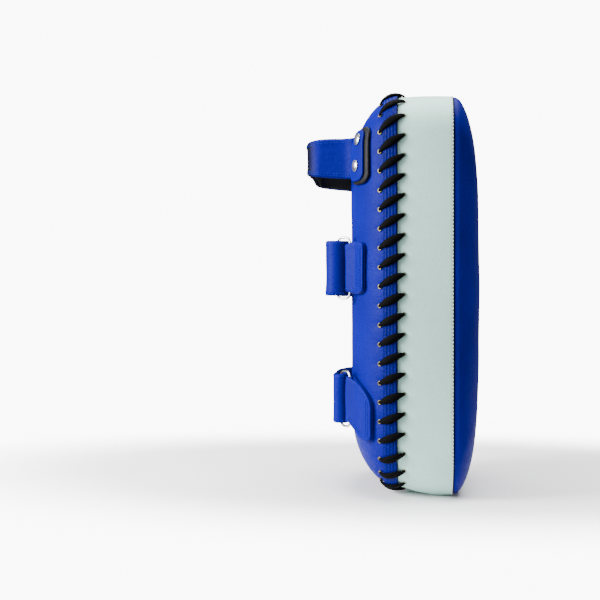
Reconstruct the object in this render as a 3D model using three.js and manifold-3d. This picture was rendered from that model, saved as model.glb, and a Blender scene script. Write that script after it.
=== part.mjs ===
// A thai pad: a forearm-held kicking pad with a crowned striking face, a pale gusset,
// a deep domed back laced to the gusset, a grip handle and two forearm straps.
// Millimetres. +Z is up, the striking face looks towards -Y, the straps are on +Y.
// The origin is in the middle of the flat bottom of the gusset.

import * as THREE from 'three';
import { mergeVertices } from 'three/addons/utils/BufferGeometryUtils.js';
import Module from 'manifold-3d';

const wasm = await Module();
wasm.setup();

// ---------------------------------------------------------------- driving dimensions

const HEIGHT = 400;
const HALF_WIDTH = 95;
const TOP_RADIUS = 40;
const BOTTOM_RADIUS = 52;
const HALF_GUSSET = 27;          // the gusset runs from y = -27 to y = +27
const CROWN = 29;                // how far the striking face stands out of the gusset
const CROWN_POWER = 3.2;         // flatness of the striking face
const CROWN_TOP = 0.8;           // the share of the crown that is lofted before its flat middle
const BACK_DEPTH = 50;           // how far the back stands out of the gusset
const BACK_ROLL = 78;            // width over which the back rolls down to its laced edge
const BACK_END_RADIUS = 17;      // corner radius of the flat middle of the back
const REST_DEPTH = 15;           // the bottom is flat from the front seam back to this y
const EDGE_LIFT = 7.5;           // the lace pulls the bottom of the laced edge up by this much

const LEATHER = 2.4;             // covers and gusset
const GAP = 0.35;                // clearance between neighbouring pieces
const HEM_WIDTH = 13.5;          // doubled strip along the laced edge of the back
const HEM_THICKNESS = 1.9;

const LACE_PITCH = 19.7;
const LACE_RISE = 12.6;          // how far a stitch climbs from its back hole to its gusset hole
const LACE_BACK_HOLE = 17;       // distance of the back holes from the laced edge
const LACE_GUSSET_HOLE = 6.5;    // distance of the gusset holes from the laced edge
const HOLE_HALF = 3;

const STRAP_THICKNESS = 3;
const PATCH_THICKNESS = 1.2;     // hook and loop patches
const TAB_THICKNESS = 2.2;       // leather of tabs and patches
const WIRE_RADIUS = 1.6;         // rings
const RING_MARGIN = 4.5;         // how far a ring stands past the edge of its strap
const RING_CORNER = 6;

const HANDLE_Z = 340;            // middle of the handle
const HANDLE_HALF_SPAN = 57;     // from the middle of the pad to a leg of the handle
const HANDLE_REACH = 121;        // y of the outside of the handle
const HANDLE_PIVOT_Y = 81;
const RIVET_RADIUS = 6;
const RIVET_SPACING = 25;

const BLUE = new THREE.MeshStandardMaterial({ color: 0x0a22c8, roughness: 0.45, metalness: 0 });
const DARK_BLUE = new THREE.MeshStandardMaterial({ color: 0x08157a, roughness: 0.5, metalness: 0 });
const PALE = new THREE.MeshStandardMaterial({ color: 0xc9d8d3, roughness: 0.5, metalness: 0 });
const BLACK = new THREE.MeshStandardMaterial({ color: 0x0b0b0d, roughness: 0.8, metalness: 0 });
const STEEL = new THREE.MeshStandardMaterial({ color: 0xc4c7ca, roughness: 0.25, metalness: 1 });
const FOAM = new THREE.MeshStandardMaterial({ color: 0xb9b39a, roughness: 0.95, metalness: 0 });
const BOARD = new THREE.MeshStandardMaterial({ color: 0x6e5a42, roughness: 0.9, metalness: 0 });

const pad = new THREE.Group();

// ---------------------------------------------------------------- general helpers

function addMesh(name, geometry, material) {
  const mesh = new THREE.Mesh(geometry, material);
  mesh.name = name;
  pad.add(mesh);
  return mesh;
}

function signedVolume(positions, triangles) {
  let volume = 0;
  const [a, b, c] = [new THREE.Vector3(), new THREE.Vector3(), new THREE.Vector3()];
  for (let i = 0; i < triangles.length; i += 3) {
    a.fromArray(positions, 3 * triangles[i]);
    b.fromArray(positions, 3 * triangles[i + 1]);
    c.fromArray(positions, 3 * triangles[i + 2]);
    volume += a.dot(b.cross(c)) / 6;
  }
  return volume;
}

function geometryFrom(positions, triangles) {
  if (signedVolume(positions, triangles) < 0) {
    triangles.reverse();
  }
  const geometry = new THREE.BufferGeometry();
  geometry.setAttribute('position', new THREE.Float32BufferAttribute(positions, 3));
  geometry.setIndex(triangles);
  geometry.computeVertexNormals();
  return geometry;
}

// A closed body through rings of points. Its ends are joined to each other, or closed by fans,
// or, for long thin sections, by strips between opposite points.
function loft(rings, ends = 'fans') {
  const joinEnds = ends === 'joined';
  const count = rings[0].length;
  const positions = rings.flat().flatMap((point) => point.toArray());
  const triangles = [];
  const bands = joinEnds ? rings.length : rings.length - 1;
  for (let r = 0; r < bands; r++) {
    const here = r * count;
    const next = ((r + 1) % rings.length) * count;
    for (let i = 0; i < count; i++) {
      const j = (i + 1) % count;
      triangles.push(here + i, next + i, next + j, here + i, next + j, here + j);
    }
  }
  if (ends === 'strips') {
    const closeThin = (start, turned) => {
      for (let i = 0; i < count / 2 - 1; i++) {
        const quad = [i, i + 1, count - 2 - i, count - 1 - i].map((corner) => start + corner);
        const [a, b, c, d] = turned ? quad.reverse() : quad;
        triangles.push(a, b, c, a, c, d);
      }
    };
    closeThin(0, false);
    closeThin((rings.length - 1) * count, true);
  }
  if (ends === 'fans') {
    const closeEnd = (ring, start, turned) => {
      const middle = new THREE.Vector3();
      ring.forEach((point) => middle.add(point));
      middle.divideScalar(count);
      const centre = positions.length / 3;
      positions.push(...middle.toArray());
      for (let i = 0; i < count; i++) {
        const j = (i + 1) % count;
        triangles.push(centre, start + (turned ? j : i), start + (turned ? i : j));
      }
    };
    closeEnd(rings[0], 0, false);
    closeEnd(rings.at(-1), (rings.length - 1) * count, true);
  }
  return geometryFrom(positions, triangles);
}

function toSolid(geometry) {
  const bare = geometry.clone();
  bare.deleteAttribute('normal');
  bare.deleteAttribute('uv');
  const merged = mergeVertices(bare, 1e-4);
  const vertProperties = new Float32Array(merged.attributes.position.array);
  const triVerts = new Uint32Array(merged.index.array);
  return new wasm.Manifold(new wasm.Mesh({ numProp: 3, vertProperties, triVerts }));
}

function fromSolid(solid) {
  const mesh = solid.getMesh();
  return geometryFrom(Array.from(mesh.vertProperties), Array.from(mesh.triVerts));
}

// ---------------------------------------------------------------- the outline and its surfaces

// Rounded rectangle in X and Z, walked from the middle of the bottom towards -X, up, over and
// down again. A place on it is a segment number plus a fraction of that segment.
const SEGMENTS = 9;

function outlineAt(place, inset, topRadius, bottomRadius, lift = 0) {
  const halfWidth = HALF_WIDTH - inset;
  const low = inset + lift;
  const high = HEIGHT - inset;
  const segment = Math.min(Math.floor(place), SEGMENTS - 1);
  const share = place - segment;
  const line = (x0, z0, x1, z1, nx, nz) => ({
    x: x0 + (x1 - x0) * share, z: z0 + (z1 - z0) * share, nx, nz,
  });
  const arc = (x, z, radius, from) => {
    const angle = THREE.MathUtils.degToRad(from - 90 * share);
    const [nx, nz] = [Math.cos(angle), Math.sin(angle)];
    return { x: x + radius * nx, z: z + radius * nz, nx, nz };
  };
  const bottom = halfWidth - bottomRadius;
  const top = halfWidth - topRadius;
  switch (segment) {
    case 0: return line(0, low, -bottom, low, 0, -1);
    case 1: return arc(-bottom, low + bottomRadius, bottomRadius, 270);
    case 2: return line(-halfWidth, low + bottomRadius, -halfWidth, high - topRadius, -1, 0);
    case 3: return arc(-top, high - topRadius, topRadius, 180);
    case 4: return line(-top, high, top, high, 0, 1);
    case 5: return arc(top, high - topRadius, topRadius, 90);
    case 6: return line(halfWidth, high - topRadius, halfWidth, low + bottomRadius, 1, 0);
    case 7: return arc(bottom, low + bottomRadius, bottomRadius, 0);
    default: return line(bottom, low, 0, low, 0, -1);
  }
}

const SEGMENT_LENGTHS = [
  HALF_WIDTH - BOTTOM_RADIUS,
  BOTTOM_RADIUS * Math.PI / 2,
  HEIGHT - TOP_RADIUS - BOTTOM_RADIUS,
  TOP_RADIUS * Math.PI / 2,
  2 * (HALF_WIDTH - TOP_RADIUS),
  TOP_RADIUS * Math.PI / 2,
  HEIGHT - TOP_RADIUS - BOTTOM_RADIUS,
  BOTTOM_RADIUS * Math.PI / 2,
  HALF_WIDTH - BOTTOM_RADIUS,
];
const PERIMETER = SEGMENT_LENGTHS.reduce((sum, length) => sum + length, 0);

function placeAt(distance) {
  let left = Math.min(Math.max(distance, 0), PERIMETER);
  for (let i = 0; i < SEGMENTS; i++) {
    if (left <= SEGMENT_LENGTHS[i]) {
      return i + left / SEGMENT_LENGTHS[i];
    }
    left -= SEGMENT_LENGTHS[i];
  }
  return SEGMENTS;
}

// Places for one closed ring: a few on the straight stretches and more on the corners.
function ringPlaces(cornerSteps, sideSteps) {
  const steps = [1, cornerSteps, sideSteps, cornerSteps, 2, cornerSteps, sideSteps, cornerSteps, 1];
  return steps.flatMap((count, segment) =>
    Array.from({ length: count }, (_, i) => segment + i / count));
}

const COVER_PLACES = ringPlaces(5, 3);
const FOAM_PLACES = ringPlaces(3, 2);

function backRadii(share) {
  return {
    top: TOP_RADIUS + (BACK_END_RADIUS - TOP_RADIUS) * share,
    bottom: BOTTOM_RADIUS + (BACK_END_RADIUS - BOTTOM_RADIUS) * share,
  };
}

// A point of the laced side. depth is measured from the laced edge along Y: below zero it lies on
// the gusset, above zero on the domed back. offset moves it out of the surface.
function lacedSurface(place, depth, offset) {
  if (depth <= 0) {
    const rise = Math.max(0, HALF_GUSSET + depth - REST_DEPTH) / (HALF_GUSSET - REST_DEPTH);
    const edge = outlineAt(place, 0, TOP_RADIUS, BOTTOM_RADIUS, EDGE_LIFT * rise);
    return new THREE.Vector3(
      edge.x + edge.nx * offset, HALF_GUSSET + depth, edge.z + edge.nz * offset);
  }
  const sine = Math.min(depth / BACK_DEPTH, 1);
  const cosine = Math.sqrt(1 - sine * sine);
  const radii = backRadii(1 - cosine);
  const inset = BACK_ROLL * (1 - cosine);
  const edge = outlineAt(place, inset, radii.top, radii.bottom, EDGE_LIFT);
  const across = cosine / BACK_ROLL;
  const along = sine / BACK_DEPTH;
  const length = Math.hypot(across, along);
  return new THREE.Vector3(
    edge.x + edge.nx * offset * across / length,
    HALF_GUSSET + depth + offset * along / length,
    edge.z + edge.nz * offset * across / length);
}

// Signed distance of a point to the ring of the back that lies at one share of its roll.
function backRingDistance(x, z, share) {
  const radii = backRadii(share);
  const middle = (HEIGHT + EDGE_LIFT) / 2;
  const halfHeight = (HEIGHT - EDGE_LIFT) / 2;
  const radius = z > middle ? radii.top : radii.bottom;
  const qx = Math.abs(x) - (HALF_WIDTH - BACK_ROLL * share - radius);
  const qz = Math.abs(z - middle) - (halfHeight - BACK_ROLL * share - radius);
  return Math.hypot(Math.max(qx, 0), Math.max(qz, 0)) + Math.min(Math.max(qx, qz), 0) - radius;
}

function backHeight(x, z) {
  let [low, high] = [0, 1];
  if (backRingDistance(x, z, 1) < 0) {
    return HALF_GUSSET + BACK_DEPTH;
  }
  for (let i = 0; i < 40; i++) {
    const middle = (low + high) / 2;
    if (backRingDistance(x, z, middle) < 0) {
      low = middle;
    } else {
      high = middle;
    }
  }
  return HALF_GUSSET + BACK_DEPTH * Math.sqrt(1 - (1 - low) ** 2);
}

function onBack(x, z, offset) {
  const step = 0.5;
  const slopeX = (backHeight(x + step, z) - backHeight(x - step, z)) / (2 * step);
  const slopeZ = (backHeight(x, z + step) - backHeight(x, z - step)) / (2 * step);
  const normal = new THREE.Vector3(-slopeX, 1, -slopeZ).normalize();
  return new THREE.Vector3(x, backHeight(x, z), z).addScaledVector(normal, offset);
}

// ---------------------------------------------------------------- covers and gusset

function crownRing(share, inset, drop, places) {
  const height = (CROWN - drop) * Math.sqrt(1 - (1 - share) ** CROWN_POWER);
  const shrink = 1 - share;
  return places.map((place) => {
    const edge = outlineAt(place, inset, TOP_RADIUS - inset, BOTTOM_RADIUS - inset);
    const middle = HEIGHT / 2;
    return new THREE.Vector3(
      edge.x * shrink, -HALF_GUSSET - height, middle + (edge.z - middle) * shrink);
  });
}

function strikingCover() {
  const shares = [CROWN_TOP, 0.45, 0.2, 0.07, 0.015, 0];
  const outside = shares.map((share) => crownRing(share, 0, 0, COVER_PLACES));
  const inside = shares.map((share) => crownRing(share, LEATHER, LEATHER, COVER_PLACES));
  return loft([...outside, ...inside.reverse()]);
}

function backRing(turn, thickness, places) {
  const depth = BACK_DEPTH * Math.sin(turn);
  return places.map((place) => lacedSurface(place, Math.max(depth, GAP), -thickness));
}

function backCover() {
  const turns = [90, 66, 46, 28, 12, 0].map(THREE.MathUtils.degToRad);
  const outside = turns.map((turn) => backRing(turn, 0, COVER_PLACES));
  const inside = turns.map((turn) => backRing(turn, LEATHER, COVER_PLACES));
  return loft([...outside, ...inside.reverse()]);
}

// A band of the laced side between its first and last depth, from section to section.
function lacedBand(depths, low, high, places, ends) {
  const sections = places.map((place) => [
    ...depths.map((depth) => lacedSurface(place, depth, high)),
    ...depths.toReversed().map((depth) => lacedSurface(place, depth, low)),
  ]);
  return loft(sections, ends);
}

const JOIN_X = 31;               // the gusset strip meets itself under the pad
const GUSSET_FRONT = -2 * HALF_GUSSET + GAP;

function gussetPlaces() {
  const joinAt = SEGMENTS - JOIN_X / SEGMENT_LENGTHS[SEGMENTS - 1];
  const start = joinAt + GAP / SEGMENT_LENGTHS[SEGMENTS - 1];
  const around = COVER_PLACES.filter((place) => place < joinAt);
  return [start, ...around, joinAt];
}

function gussetBand() {
  const restEdge = REST_DEPTH - HALF_GUSSET;
  return lacedBand([GUSSET_FRONT, restEdge, -GAP], -LEATHER, 0, gussetPlaces(), 'strips');
}

function gussetJoinStrip() {
  const [length, width, height] = [26, 36, 1.6];
  const strip = new THREE.BoxGeometry(length, width, height);
  strip.translate(JOIN_X, -6, LEATHER + GAP + height / 2);
  return strip;
}

function hemBand() {
  const depths = [GAP, HEM_WIDTH * 0.5, HEM_WIDTH];
  return lacedBand(depths, GAP, GAP + HEM_THICKNESS, COVER_PLACES, 'joined');
}

// ---------------------------------------------------------------- lace

const STITCHES = Math.round(PERIMETER / LACE_PITCH);
const STITCH_STEP = PERIMETER / STITCHES;

function stitchPlaces(index) {
  const start = index * STITCH_STEP + (STITCH_STEP - LACE_RISE) / 2;
  return { back: start, gusset: start + LACE_RISE };
}

// Each stitch leaves its back hole, crosses the hem and enters its gusset hole; the lace then
// runs on inside to the next back hole.
function laceStations() {
  const inside = -(LEATHER + 3);
  const over = HEM_THICKNESS + 3.4;
  const stations = [];
  for (let i = 0; i < STITCHES; i++) {
    const { back, gusset } = stitchPlaces(i);
    const at = (share, depth, offset, half) => stations.push({
      distance: back + LACE_RISE * share, depth, offset, half,
    });
    at(0, LACE_BACK_HOLE, inside, 1.3);
    at(0, LACE_BACK_HOLE, 3.3, 1.5);
    at(0.3, 10, over, 2.7);
    at(0.7, 0.5, over, 2.7);
    at(1, -LACE_GUSSET_HOLE, 1.9, 1.5);
    at(1, -LACE_GUSSET_HOLE, inside, 1.3);
  }
  return stations;
}

// Along the laced edge at one place, so that every section of the lace is turned the same way.
function edgeTangent(distance, depth) {
  const before = lacedSurface(placeAt(distance - 1), depth, 0);
  return lacedSurface(placeAt(distance + 1), depth, 0).sub(before).normalize();
}

function lace() {
  const stations = laceStations();
  const flatHalf = 1.35;
  const points = stations.map(({ distance, depth, offset }) =>
    lacedSurface(placeAt(distance), depth, offset));
  const rings = points.map((point, i) => {
    const before = points[Math.max(i - 1, 0)];
    const after = points[Math.min(i + 1, points.length - 1)];
    const into = point.clone().sub(before).normalize();
    const out = after.clone().sub(point).normalize();
    const along = into.add(out).normalize();
    const { distance, depth, half } = stations[i];
    const side = edgeTangent(distance, depth);
    side.addScaledVector(along, -side.dot(along)).normalize();
    const upper = new THREE.Vector3().crossVectors(side, along);
    return [[side, half], [upper, flatHalf], [side, -half], [upper, -flatHalf]].map(
      ([direction, distanceOut]) => point.clone().addScaledVector(direction, distanceOut));
  });
  return loft(rings);
}

// A square punch through the leather at one hole.
function punch(distance, depth) {
  const place = placeAt(distance);
  const low = lacedSurface(place, depth, -LEATHER - 1.5);
  const high = lacedSurface(place, depth, 1.5);
  const tangent = edgeTangent(distance, depth);
  const outward = high.clone().sub(low).normalize();
  const across = new THREE.Vector3().crossVectors(outward, tangent).normalize();
  const corners = (centre) => [[1, 1], [-1, 1], [-1, -1], [1, -1]].map(([u, v]) =>
    centre.clone().addScaledVector(tangent, u * HOLE_HALF).addScaledVector(across, v * HOLE_HALF));
  return toSolid(loft([corners(low), corners(high)]));
}

function punched(geometry, holes) {
  const tools = wasm.Manifold.union(holes.map(([distance, depth]) => punch(distance, depth)));
  return fromSolid(toSolid(geometry).subtract(tools));
}

const stitchIndices = Array.from({ length: STITCHES }, (_, i) => i);
const backHoles = stitchIndices.map((i) => [stitchPlaces(i).back, LACE_BACK_HOLE]);
const gussetHoles = stitchIndices.map((i) => [stitchPlaces(i).gusset, -LACE_GUSSET_HOLE]);

// ---------------------------------------------------------------- filling

const CORE_FRONT = -8;
const CORE_BACK = 13;
const BOARD_THICKNESS = 3;
const FILL_INSET = 8;

function foamRing(y, inset) {
  return FOAM_PLACES.map((place) => {
    const edge = outlineAt(place, inset, TOP_RADIUS - inset / 2, BOTTOM_RADIUS - inset / 2);
    return new THREE.Vector3(edge.x, y, edge.z);
  });
}

function frontFoam() {
  const lining = LEATHER + GAP;
  const shares = [CROWN_TOP, 0.35, 0.1, 0.01];
  const crown = shares.map((share) => crownRing(share, lining + 1, lining + 1, FOAM_PLACES));
  return loft([...crown, foamRing(CORE_FRONT - GAP, lining + 2.5)]);
}

function slab(low, high, inset) {
  return loft([foamRing(low, inset), foamRing(high, inset)]);
}

function backFoam() {
  const floor = CORE_BACK + BOARD_THICKNESS + 2 * GAP;
  const height = HALF_GUSSET + BACK_DEPTH - LEATHER - 1 - floor;
  const rings = [90, 60, 35, 15, 0].map(THREE.MathUtils.degToRad).map((turn) => {
    const share = 1 - Math.cos(turn);
    const radii = backRadii(share);
    const inset = FILL_INSET + (BACK_ROLL - FILL_INSET) * share;
    return FOAM_PLACES.map((place) => {
      const edge = outlineAt(place, inset, radii.top - 4, radii.bottom - 4, EDGE_LIFT);
      return new THREE.Vector3(edge.x, floor + height * Math.sin(turn), edge.z);
    });
  });
  return loft(rings);
}

// ---------------------------------------------------------------- straps

// Normals of a polyline in X and Y, pointing to its left.
function leftNormals(points) {
  return points.map((point, i) => {
    const before = points[Math.max(i - 1, 0)];
    const after = points[Math.min(i + 1, points.length - 1)];
    const along = after.clone().sub(before).normalize();
    return new THREE.Vector2(-along.y, along.x);
  });
}

function offsetLine(points, distance) {
  const normals = leftNormals(points);
  return points.map((point, i) => point.clone().addScaledVector(normals[i], distance));
}

// A strip of leather that follows a line in X and Y and lies across Z.
function strip(points, thickness, middleAt, halfWidthAt) {
  const normals = leftNormals(points);
  const last = points.length - 1;
  const rings = points.map((point, i) => {
    const half = halfWidthAt(i / last);
    const corner = (side, up) => new THREE.Vector3(
      point.x + normals[i].x * thickness * side / 2,
      point.y + normals[i].y * thickness * side / 2,
      middleAt(i / last) + half * up);
    return [corner(1, 1), corner(-1, 1), corner(-1, -1), corner(1, -1)];
  });
  return loft(rings);
}

function smoothLine(points, steps) {
  const curve = new THREE.SplineCurve(points.map(([x, y]) => new THREE.Vector2(x, y)));
  return curve.getSpacedPoints(steps);
}

function arcLine(x, y, radius, from, to, steps) {
  return Array.from({ length: steps + 1 }, (_, i) => {
    const angle = THREE.MathUtils.degToRad(from + (to - from) * i / steps);
    return new THREE.Vector2(x + radius * Math.cos(angle), y + radius * Math.sin(angle));
  });
}

function alongBack(fromX, toX, z, offset, steps) {
  return Array.from({ length: steps + 1 }, (_, i) => {
    const point = onBack(fromX + (toX - fromX) * i / steps, z, offset);
    return new THREE.Vector2(point.x, point.y);
  });
}

const FOLD_X = -46;              // middle of the fold at the ring
const RING_EYE = new THREE.Vector2(-60, 75.2);
const FLAP_OFFSET = STRAP_THICKNESS + 2 * PATCH_THICKNESS + 3 * GAP;

// One forearm strap. It is sewn down on +X, passes over the forearm to a ring on -X, folds
// round the ring's bar and comes back over itself, held by hook and loop.
function forearmStrap(side, spec) {
  const { z, strapHalf, arch, foldRadius, foldY, slack, endX, square } = spec;
  const full = () => strapHalf;
  const atZ = () => z;
  const half = STRAP_THICKNESS / 2;

  const sewn = alongBack(80, 56, z, GAP + half, 4);
  const overArm = smoothLine([
    sewn.at(-1).toArray(),
    [30, arch - 4],
    [6, arch],
    [-31, (arch + foldY - foldRadius) / 2 - 0.8],
    [FOLD_X, foldY - foldRadius],
  ], 9);
  const fold = arcLine(FOLD_X, foldY, foldRadius, 270, 90, 8);
  const span = [...sewn.slice(0, -1), ...overArm];
  addMesh(`${side}_strap`, strip([...span, ...fold.slice(1)], STRAP_THICKNESS, atZ, full), BLUE);

  const anchorLine = alongBack(86, 64, z, 2 * GAP + STRAP_THICKNESS + TAB_THICKNESS / 2, 4);
  const anchorHalf = () => strapHalf + 3;
  addMesh(`${side}_anchor_patch`, strip(anchorLine, TAB_THICKNESS, atZ, anchorHalf), BLUE);

  const gripPart = overArm.slice(1, 5);
  const patchOffset = -(half + GAP + PATCH_THICKNESS / 2);
  const patchHalf = () => strapHalf - 3;
  addMesh(`${side}_loop_patch`,
    strip(offsetLine(gripPart, patchOffset), PATCH_THICKNESS, atZ, patchHalf), BLACK);
  const hookOffset = patchOffset - PATCH_THICKNESS - GAP;
  addMesh(`${side}_hook_patch`,
    strip(offsetLine(gripPart, hookOffset), PATCH_THICKNESS, atZ, patchHalf), BLACK);

  const top = foldY + foldRadius;
  const overSpan = offsetLine(span.slice(0, 10), -FLAP_OFFSET).toReversed();
  const outLine = overSpan.at(-1).clone().sub(overSpan.at(-2)).normalize();
  const reach = (endX - overSpan.at(-1).x) / outLine.x;
  const tongue = [0.35, 0.7, 0.88, 1].map((share) =>
    overSpan.at(-1).clone().addScaledVector(outLine, reach * share));
  const flapLine = [
    new THREE.Vector2(FOLD_X + 2 * GAP, top),
    new THREE.Vector2(FOLD_X + 14, top - 0.6),
    ...overSpan,
    ...tongue,
  ];
  const tongueHalf = (share) => {
    const round = Math.max(0, (share - 0.8) / 0.2);
    return strapHalf * (square ? 1 - 0.1 * round ** 4 : Math.sqrt(1 - 0.8 * round ** 2));
  };
  addMesh(`${side}_flap`, strip(flapLine, STRAP_THICKNESS, atZ, tongueHalf), BLUE);

  const barX = FOLD_X - foldRadius + half + WIRE_RADIUS + slack;
  const bar = new THREE.Vector2(barX, foldY - 0.5);
  addMesh(`${side}_ring`, wireRing(RING_EYE, bar, z, strapHalf + RING_MARGIN), STEEL);
  addMesh(`${side}_ring_tab`, ringTab(RING_EYE, z, spec.tab), BLUE);
}

// A rectangular wire ring with round corners, standing across from the eye to the bar.
function wireRing(eye, bar, z, halfHeight) {
  const width = eye.distanceTo(bar);
  const across = bar.clone().sub(eye).normalize();
  const inner = halfHeight - WIRE_RADIUS;
  const corners = [
    [width - RING_CORNER, inner - RING_CORNER, 0],
    [RING_CORNER, inner - RING_CORNER, 90],
    [RING_CORNER, RING_CORNER - inner, 180],
    [width - RING_CORNER, RING_CORNER - inner, 270],
  ];
  const path = corners.flatMap(([u, v, from]) =>
    arcLine(u, v, RING_CORNER, from, from + 90, 3));
  const wireSides = 6;
  const rings = path.map((point, i) => {
    const before = path[(i + path.length - 1) % path.length];
    const after = path[(i + 1) % path.length];
    const along = after.clone().sub(before).normalize();
    const outward = new THREE.Vector2(along.y, -along.x);
    return Array.from({ length: wireSides }, (_, k) => {
      const angle = 2 * Math.PI * k / wireSides;
      const out = WIRE_RADIUS * Math.cos(angle);
      const lift = WIRE_RADIUS * Math.sin(angle);
      const u = point.x + outward.x * out;
      return new THREE.Vector3(
        eye.x + across.x * u - across.y * lift,
        eye.y + across.y * u + across.x * lift,
        z + point.y + outward.y * out);
    });
  });
  return loft(rings, 'joined');
}

// A doubled leather tab sewn to the near shoulder, with the ring's bar in its fold.
function ringTab(eye, z, { endX, half, loopHalf, tip, drop }) {
  const legSteps = 5;
  const loopRadius = WIRE_RADIUS + 0.9 + TAB_THICKNESS / 2;
  const lowOffset = GAP + TAB_THICKNESS / 2;
  const highOffset = lowOffset + TAB_THICKNESS + GAP;
  const lowLeg = alongBack(endX, -66, z, lowOffset, legSteps);
  const highLeg = alongBack(-67.5, endX, z, highOffset, legSteps);
  const loop = arcLine(eye.x, eye.y, loopRadius, -62, 117, 6);
  const line = [...lowLeg, ...loop, ...highLeg];
  const legShare = legSteps / (line.length - 1);
  const alongLeg = (share) => Math.min(1, Math.min(share, 1 - share) / legShare);
  const middleAt = (share) => z - drop * (1 - alongLeg(share));
  return strip(line, TAB_THICKNESS, middleAt, (share) => {
    const opened = Math.min(1, alongLeg(share) * 2);
    const round = half * (tip + (1 - tip) * Math.sqrt(1 - (1 - opened) ** 2));
    return THREE.MathUtils.lerp(round, loopHalf, alongLeg(share) ** 3);
  });
}

const UPPER_STRAP = {
  z: 229, strapHalf: 28, arch: 90, foldRadius: 10.6, foldY: 89.4, slack: 2.2,
  endX: 99, square: false,
  tab: { endX: -78, half: 27, loopHalf: 24, tip: 0.75, drop: 0 },
};
const LOWER_STRAP = {
  z: 96, strapHalf: 25, arch: 86, foldRadius: 6.4, foldY: 85.8, slack: 1.5,
  endX: 108, square: true,
  tab: { endX: -86, half: 27, loopHalf: 23, tip: 0.5, drop: 18 },
};

// ---------------------------------------------------------------- handle

// A patch that lies on the back: a rounded rectangle in X and Z, bent over the dome.
function backPatch(x, z, halfX, halfZ, radius, lift, thickness) {
  const corner = (cx, cz, from) => arcLine(cx, cz, radius, from, from + 90, 3);
  const [u, v] = [halfX - radius, halfZ - radius];
  const outline = [
    ...corner(u, v, 0), ...corner(-u, v, 90), ...corner(-u, -v, 180), ...corner(u, -v, 270),
  ];
  const ring = (scale, offset) => outline.map((point) =>
    onBack(x + point.x * scale, z + point.y * scale, offset));
  const scales = [0.3, 0.65, 1];
  return loft([
    ...scales.map((scale) => ring(scale, lift + thickness)),
    ...scales.toReversed().map((scale) => ring(scale, lift)),
  ]);
}

const TAB_X = 69;
const FOOT_LIFT = 1;             // the feet bridge the facets of the dome
const TAB_LIFT = FOOT_LIFT + TAB_THICKNESS + GAP;

function handleFoot(side, sign) {
  const underlay = backPatch(sign * TAB_X, HANDLE_Z, 14, 28, 9, FOOT_LIFT, TAB_THICKNESS);
  const tab = backPatch(sign * (TAB_X - 1), HANDLE_Z, 11, 25, 8, TAB_LIFT, TAB_THICKNESS);
  const rivets = [-1, 1].map((up) => ({
    x: sign * (TAB_X + 1 + up),
    z: HANDLE_Z + 3 + up * RIVET_SPACING / 2,
  }));
  const drills = wasm.Manifold.union(rivets.map(({ x, z }) => drill(x, z)));
  addMesh(`handle_underlay_${side}`, fromSolid(toSolid(underlay).subtract(drills)), BLACK);
  addMesh(`handle_tab_${side}`, fromSolid(toSolid(tab).subtract(drills)), BLUE);
  rivets.forEach(({ x, z }, i) => {
    addMesh(`handle_rivet_${side}_${i + 1}`, placedOnBack(rivetShape(), x, z), STEEL);
  });
  return drills;
}

const SHANK_RADIUS = 1.8;
const RIVET_SIDES = 8;

// Cap outside, shank through the leather, and a flat burr inside; the origin of the shape is on
// the outside of the back cover and +Y points out.
function rivetShape() {
  const seat = TAB_LIFT + TAB_THICKNESS + 0.6;
  const under = -LEATHER - 1.6;
  const profile = [
    [0, under - 1], [4, under - 1], [4, under], [SHANK_RADIUS, under],
    [SHANK_RADIUS, seat], [RIVET_RADIUS, seat], [RIVET_RADIUS * 0.7, seat + 1.6], [0, seat + 2.2],
  ];
  return new THREE.LatheGeometry(
    profile.map(([radius, y]) => new THREE.Vector2(radius, y)), RIVET_SIDES);
}

function placedOnBack(geometry, x, z) {
  const foot = onBack(x, z, 0);
  const outward = onBack(x, z, 1).sub(foot).normalize();
  const turn = new THREE.Quaternion().setFromUnitVectors(new THREE.Vector3(0, 1, 0), outward);
  geometry.applyQuaternion(turn);
  geometry.translate(...foot.toArray());
  return geometry;
}

function drill(x, z) {
  const shaft = new THREE.CylinderGeometry(
    SHANK_RADIUS + GAP, SHANK_RADIUS + GAP, 24, RIVET_SIDES);
  return toSolid(placedOnBack(shaft, x, z));
}

const GRIP_HALF = 14;
const LEG_HALF = 21;
const GRIP_CORNER = 16;

// The loop of the handle: two legs and a grip, seen along Z, at one distance inside its outer face.
function handleLine(inset) {
  const x = HANDLE_HALF_SPAN - inset;
  const y = HANDLE_REACH - inset;
  const radius = GRIP_CORNER - inset;
  const cx = x - radius;
  const cy = y - radius;
  const leg = [0, 0.35, 0.7].map((share) => HANDLE_PIVOT_Y + (cy - HANDLE_PIVOT_Y) * share);
  return [
    ...leg.map((legY) => new THREE.Vector2(-x, legY)),
    ...arcLine(-cx, cy, radius, 180, 90, 4),
    new THREE.Vector2(0, y),
    ...arcLine(cx, cy, radius, 90, 0, 4),
    ...leg.toReversed().map((legY) => new THREE.Vector2(x, legY)),
  ];
}

function handleHalfWidth(share) {
  const toGrip = Math.min(1, Math.min(share, 1 - share) / 0.35);
  return LEG_HALF + (GRIP_HALF - LEG_HALF) * toGrip ** 1.5;
}

function handleLayer(inset, thickness, trim) {
  return strip(handleLine(inset + thickness / 2), thickness, () => HANDLE_Z,
    (share) => handleHalfWidth(share) - trim);
}

// ---------------------------------------------------------------- assembly

addMesh('striking_cover', strikingCover(), BLUE);
addMesh('front_foam', frontFoam(), FOAM);
addMesh('core_foam', slab(CORE_FRONT, CORE_BACK, FILL_INSET), FOAM);
addMesh('stiffening_board',
  slab(CORE_BACK + GAP, CORE_BACK + GAP + BOARD_THICKNESS, FILL_INSET), BOARD);
addMesh('back_foam', backFoam(), FOAM);

addMesh('gusset_band', punched(gussetBand(), gussetHoles), PALE);
addMesh('gusset_join_strip', gussetJoinStrip(), PALE);

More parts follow.
